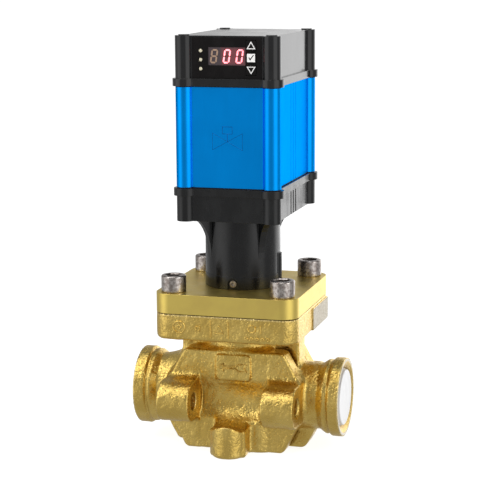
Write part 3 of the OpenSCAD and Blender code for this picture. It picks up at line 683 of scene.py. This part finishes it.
LOOKS = {
    "cast_gold": cast_look(),
    "bonnet_olive": bonnet_look(),
    "screw_steel": screw_look(),
    "machined_steel": steel_look("machined_steel", (0.62, 0.63, 0.64)),
    "blue_anodised": anodised_look(),
    "black_gloss": plastic_look("black_gloss", (0.003, 0.003, 0.0035), 0.14, 0.003, cloud=0.03),
    "black_satin": plastic_look("black_satin", (0.0035, 0.0037, 0.004), 0.27, 0.006, cloud=0.08,
                                Specular_IOR_Level=0.4),
    "black_rubber": plastic_look("black_rubber", (0.012, 0.012, 0.012), 0.65, 0.02, 0.3),
    "white_plastic": plastic_look("white_plastic", (0.64, 0.64, 0.64), 0.35, 0.01,
                                  Specular_IOR_Level=0.3),
    "label_film": plastic_look("label_film", (0.003, 0.002, 0.002), 0.30, 0.006, 0.25,
                               Specular_IOR_Level=0.2),
    "display_dark": display_look(),
    "digit_dark": unlit_look(),
    "digit_red": glow_look("digit_red", (1.0, 0.20, 0.24), 2.0),
    "led_clear": plastic_look("led_clear", (0.86, 0.80, 0.60), 0.15, 0.004, Transmission_Weight=0.25),
    "key_film": plastic_look("key_film", (0.003, 0.002, 0.002), 0.32, 0.006, 0.25,
                             Specular_IOR_Level=0.2),
    "board_green": plastic_look("board_green", (0.02, 0.16, 0.07), 0.35),
    "component_dark": plastic_look("component_dark", (0.03, 0.03, 0.035), 0.45),
    "winding_copper": steel_look("winding_copper", (0.62, 0.36, 0.14), 0.35),
    "magnet_grey": steel_look("magnet_grey", (0.30, 0.30, 0.32), 0.4),
    "bronze": steel_look("bronze", (0.60, 0.42, 0.20), 0.35),
    "seal_white": plastic_look("seal_white", (0.86, 0.86, 0.84), 0.45),
}
SYMBOL_WHITE = plastic_look("symbol_white", (0.85, 0.84, 0.82), 0.5, 0.004)
BLUE_LINE = plastic_look("blue_line", (0.001, 0.10, 0.34), 0.35, 0.004, Metallic=0.8)

# Every CAD node takes the look of its slot in the record
for entry in frame["record"]["subparts"]:
    node_object = frame["nodes"][entry["node"]]
    node_object.data.materials.clear()
    node_object.data.materials.append(LOOKS[entry["material_slot"]])

cast_body(LOOKS["cast_gold"])

# ---------------------------------------------------------------- bonnet screws


def bonnet_screws():
    """Four socket head screws with a turned-down top edge and a hexagon socket."""
    low, high = box_mm("bonnet_screws")
    head_r, shank_r, key_width = 9.0, 5.9, 10.0
    head_low, top = box_mm("bonnet_gasket")[1].z + 14.3, high.z
    reach = high.x - head_r
    head = [(shank_r, low.z), (shank_r, head_low), (head_r - 0.4, head_low)]
    head += rounded(head_r, head_low + 0.5, top, 1.1)
    socket = [(6.6, top), (hexagon(key_width + 1.2), top - 0.02), (hexagon(key_width), top - 0.8)]
    socket += [(hexagon(key_width), top - 6.2), (2.0, top - 7.4), (0.05, top - 7.6)]
    for x, across in ((-1, "left"), (1, "right")):
        for y, depth in ((-1, "front"), (1, "rear")):
            turn = 0.5 * x + 0.9 * y

            def place(px, py, pz, x=x, y=y, turn=turn):
                c, s = math.cos(turn), math.sin(turn)
                return (x * reach + c * px - s * py, y * reach + s * px + c * py, pz)

            points, faces = turned(head + socket, place)
            piece = add_mesh(f"bonnet_screw_{depth}_{across}", points, faces)
            fit_out(piece, LOOKS["screw_steel"])
            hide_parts("bonnet_screws")


bonnet_screws()

# ---------------------------------------------------------------- port plugs


def dust_plug(side, name, node, body):
    """A push-in plug whose slightly dished face lies level with the port."""
    rings = [(21.2, END - 13.6), (21.2, END - 2.4), (20.6, END - 1.7), (20.5, END - 0.8)]
    rings += [(20.2, END - 0.3), (19.6, END - 0.1), (19.0, END - 0.15)]
    rings += [(12, END - 0.3), (0.05, END - 0.35)]

    def place(px, py, pz):
        return (side * pz, py, PORT_Z + side * px)

    points, faces = turned(rings, place)
    piece = fit_out(add_mesh(name, points, faces), LOOKS["white_plastic"], body)
    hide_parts(node)


dust_plug(1, "dust_plug_right", "port_plug_right", "right_plug")
dust_plug(-1, "dust_plug_left", "port_plug_left", "left_plug")

# ---------------------------------------------------------------- raised lines and prints


def raised_lines(name, paths, place, radius, material, body=ROOT_BODY):
    """Rounded raised lines. Each path is (closed, [(u, v), ...]) in millimetres; place maps (u, v)
    to a point on the surface."""
    data = bpy.data.curves.new(name, "CURVE")
    data.dimensions = "3D"
    data.bevel_depth = radius * MM
    data.bevel_resolution = 3
    data.use_fill_caps = True
    for closed, corners in paths:
        line = data.splines.new("POLY")
        line.points.add(len(corners) - 1)
        line.use_cyclic_u = closed
        for point, corner in zip(line.points, corners):
            point.co = (*mm(*place(*corner)), 1)
    piece = bpy.data.objects.new(name, data)
    bpy.context.scene.collection.objects.link(piece)
    fit_out(piece, material, body)


def round_path(u, v, r, count=28):
    """A closed circle as a path."""
    turns = [2 * math.pi * i / count for i in range(count)]
    return (True, [(u + r * math.cos(a), v + r * math.sin(a)) for a in turns])


def printed_band(name, corners, width, face_y, material, body):
    """A flat closed band of ink along corners (x, z), a few hundredths proud of a face."""
    count = len(corners)
    loops = [[], []]
    for i in range(count):
        before, here, after = (Vector(corners[j % count]) for j in (i - 1, i, i + 1))
        first, second = (here - before).normalized(), (after - here).normalized()
        out = Vector((first.y, -first.x)) + Vector((second.y, -second.x))
        out *= width / 2 / max(out.length_squared / 2, 1e-6)
        loops[0].append(here + out)
        loops[1].append(here - out)
    depth = (face_y - 0.05, face_y + 0.05)
    points = [(p.x, y, p.y) for y in depth for loop in loops for p in loop]
    faces = []
    for i in range(count):
        j = (i + 1) % count
        a, b, c, d = (k * count for k in range(4))
        faces += [(a + i, a + j, b + j, b + i), (a + j, a + i, c + i, c + j)]
        faces += [(b + i, b + j, d + j, d + i), (c + i, d + i, d + j, c + j)]
    fit_out(add_mesh(name, points, faces, smooth=False), material, body)


def printed_patch(name, corners, face_y, material, body):
    """A flat filled patch of ink with corners (x, z)."""
    count = len(corners)
    points = [(u, y, v) for y in (face_y - 0.05, face_y + 0.05) for u, v in corners]
    faces = [tuple(range(count)), tuple(range(2 * count - 1, count - 1, -1))]
    faces += [(i, (i + 1) % count, count + (i + 1) % count, count + i) for i in range(count)]
    fit_out(add_mesh(name, points, faces, smooth=False), material, body)


def flow_arrow():
    """Feathered arrow on the front panel, pointing from the right port to the left one."""
    half = [(-12.0, 0), (-7.2, 2.5), (-7.2, 0.9), (2.0, 0.9), (4.4, 2.7), (10.4, 2.7), (8.2, 0)]
    corners = half + [(u, -v) for u, v in half[-2:0:-1]]
    face = -PLATE_Y - 1.8
    raised_lines("flow_arrow", [(True, corners)], lambda u, v: (u, face, PANEL[1] + v),
                 0.7, LOOKS["cast_gold"])


def casting_marks():
    """Plain founder's marks on the front of the flange: a date dial, bars, a wedge and pips."""
    middle = (FLANGE_LOW + FLANGE_HIGH) / 2
    paths = [round_path(-33, 0.4, 4.3), round_path(-33, 0.4, 1.2), (False, [(-33, 1.6), (-33, 3.4)])]
    paths += [(True, [(-20.5, -1.6), (-17.5, -1.6), (-17.5, 1.6), (-20.5, 1.6)])]
    paths += [(False, [(u, -6.0), (u, 6.0)]) for u in (-9.5, 3.5)]
    paths += [(True, [(-6.4, -2.6), (0.2, -2.6), (-3.1, 3.0)])]
    paths += [round_path(21, 1.8, 2.6), (False, [(27.5, -1.0), (27.5, 5.0)])]
    paths += [round_path(u, -5.2, 0.9, 12) for u in (17, 21, 25, 29, 33)]
    raised_lines("casting_marks", paths, lambda u, v: (u, -FLANGE_HALF - 0.15, middle + v),
                 0.6, LOOKS["cast_gold"])


def valve_symbol():
    """The usual drawing symbol of a powered valve, in fine lines on the housing's front."""
    low, high = box_mm("housing")
    column_proud = 4
    face = low.y + column_proud
    middle = (low.z + high.z) / 2
    paths = [(True, [(-11, -7), (-11, 5), (11, -7), (11, 5)]), (False, [(0, -1), (0, 4.5)])]
    paths += [(True, [(-3.6, 4.5), (3.6, 4.5), (3.6, 9.5), (-3.6, 9.5)])]
    raised_lines("valve_symbol", paths, lambda u, v: (u, face + 0.12, middle - 1.5 + v),
                 0.3, BLUE_LINE)


def key_symbols():
    """Printed signs on the three keys: up, confirm and down."""
    for node, body, way in (("key_up", "up_button", 1), ("key_down", "down_button", -1)):
        low, high = box_mm(node)
        x, z = (low.x + high.x) / 2, (low.z + high.z) / 2
        corners = [(x - 2.75, z - way * 2.1), (x + 2.75, z - way * 2.1), (x, z + way * 2.4)]
        if way < 0:
            corners.reverse()
        printed_band(f"{body}_sign", corners, 0.62, low.y, SYMBOL_WHITE, body)
    low, high = box_mm("key_enter")
    x, z = (low.x + high.x) / 2, (low.z + high.z) / 2
    square = [(x - 2.9, z - 2.9), (x + 2.9, z - 2.9), (x + 2.9, z + 2.9), (x - 2.9, z + 2.9)]
    printed_patch("enter_button_sign", square, low.y, SYMBOL_WHITE, "enter_button")
    tick = [(-1.9, 0.1), (-0.7, -1.9), (2.1, 1.9), (1.5, 2.1), (-0.7, -0.7), (-1.3, 0.5)]
    printed_patch("enter_button_tick", [(x + u, z + v) for u, v in tick], low.y - 0.05,
                  LOOKS["key_film"], "enter_button")


flow_arrow()
casting_marks()
valve_symbol()
key_symbols()

# ---------------------------------------------------------------- studio


def studio_world():
    """Dim light all round, with three broad soft patches: left and right of the camera, and behind."""
    world = bpy.data.worlds.new("studio")
    world.use_nodes = True
    tree = world.node_tree
    place = tree.nodes.new("ShaderNodeTexCoord").outputs["Generated"]

    def toward(direction):
        node = tree.nodes.new("ShaderNodeVectorMath")
        node.operation = "DOT_PRODUCT"
        node.inputs[1].default_value = Vector(direction).normalized()
        tree.links.new(place, node.inputs[0])
        return node.outputs["Value"]

    def fade(value, start, stop, at_start, at_stop):
        node = tree.nodes.new("ShaderNodeMapRange")
        node.interpolation_type = "SMOOTHSTEP"
        for i, number in enumerate((start, stop, at_start, at_stop)):
            node.inputs[i + 1].default_value = number
        tree.links.new(value, node.inputs[0])
        return node.outputs[0]

    def combine(operation, a, b):
        node = tree.nodes.new("ShaderNodeMath")
        node.operation = operation
        tree.links.new(a, node.inputs[0])
        tree.links.new(b, node.inputs[1])
        return node.outputs[0]

    strength = fade(toward((0, 0, 1)), 0.10, 0.55, 0.48, 0.30)
    for azimuth, width, brightest in ((-54, 26, 0.85), (60, 26, 0.95), (162, 30, 1.4)):
        angle = math.radians(azimuth)
        aim = toward((math.sin(angle), -math.cos(angle), 0.05))
        outer, inner = (math.cos(math.radians(part * width)) for part in (1.3, 0.5))
        lobe = fade(aim, outer, inner, 0.0, brightest)
        strength = combine("ADD", strength, lobe)
    tree.nodes["Background"].inputs["Color"].default_value = (1, 1, 1, 1)
    tree.links.new(strength, tree.nodes["Background"].inputs["Strength"])
    bpy.context.scene.world = world


def studio_floor():
    """A pale floor, lit from within like a light table, which mirrors don't see."""
    reach = 30000
    corners = [(-reach, -reach, 0), (reach, -reach, 0), (reach, reach, 0), (-reach, reach, 0)]
    floor = add_mesh("floor", corners, [(0, 1, 2, 3)], smooth=False)
    floor.location.z = cad_low.z - 0.2 * MM
    paint = Look("floor_white", (0.45, 0.45, 0.45), 0.0, 0.9)
    paint.set("Emission Color", (1, 1, 1, 1))
    paint.set("Emission Strength", 0.85)
    floor.data.materials.append(paint.material)
    floor.visible_glossy = False


def soft_light(name, place, size, power, aim=(0, 0, 150)):
    """A square or oblong lamp at a place, turned towards the object."""
    light = bpy.data.lights.new(name, "AREA")
    light.shape = "RECTANGLE"
    light.size, light.size_y = size[0] * MM, size[1] * MM
    light.energy = power
    holder = bpy.data.objects.new(name, light)
    bpy.context.scene.collection.objects.link(holder)
    holder.location = mm(*place)
    holder.rotation_mode = "QUATERNION"
    holder.rotation_quaternion = (mm(*place) - mm(*aim)).to_track_quat("Z", "Y")


def camera():
    """The camera at the object's three-quarter front view, slightly from above."""
    azimuth, elevation, roll = (math.radians(a) for a in (15.8, 10.46, -0.29))
    distance, target = 1.1817, mm(5.3, 0.0, 145.2)
    focal_over_frame = 1605.3 / 500
    back = Vector((math.sin(azimuth) * math.cos(elevation),
                   -math.cos(azimuth) * math.cos(elevation), math.sin(elevation)))
    data = bpy.data.cameras.new("camera")
    data.sensor_width = 36
    data.lens = focal_over_frame * data.sensor_width
    data.clip_start, data.clip_end = 0.05, 200
    eye = bpy.data.objects.new("camera", data)
    bpy.context.scene.collection.objects.link(eye)
    eye.location = target + back * distance
    eye.rotation_mode = "QUATERNION"
    eye.rotation_quaternion = back.to_track_quat("Z", "Y") @ Matrix.Rotation(roll, 3, "Z").to_quaternion()
    bpy.context.scene.camera = eye


studio_world()
studio_floor()
soft_light("left_softbox", (-700, -650, 900), (420, 420), 3)
soft_light("right_softbox", (950, -350, 700), (420, 420), 2.5)
soft_light("top_softbox", (-100, -250, 1300), (900, 700), 5)
camera()
bpy.context.scene.view_settings.view_transform = "Standard"
bpy.context.scene.view_settings.look = "None"

bpy.context.view_layer.update()
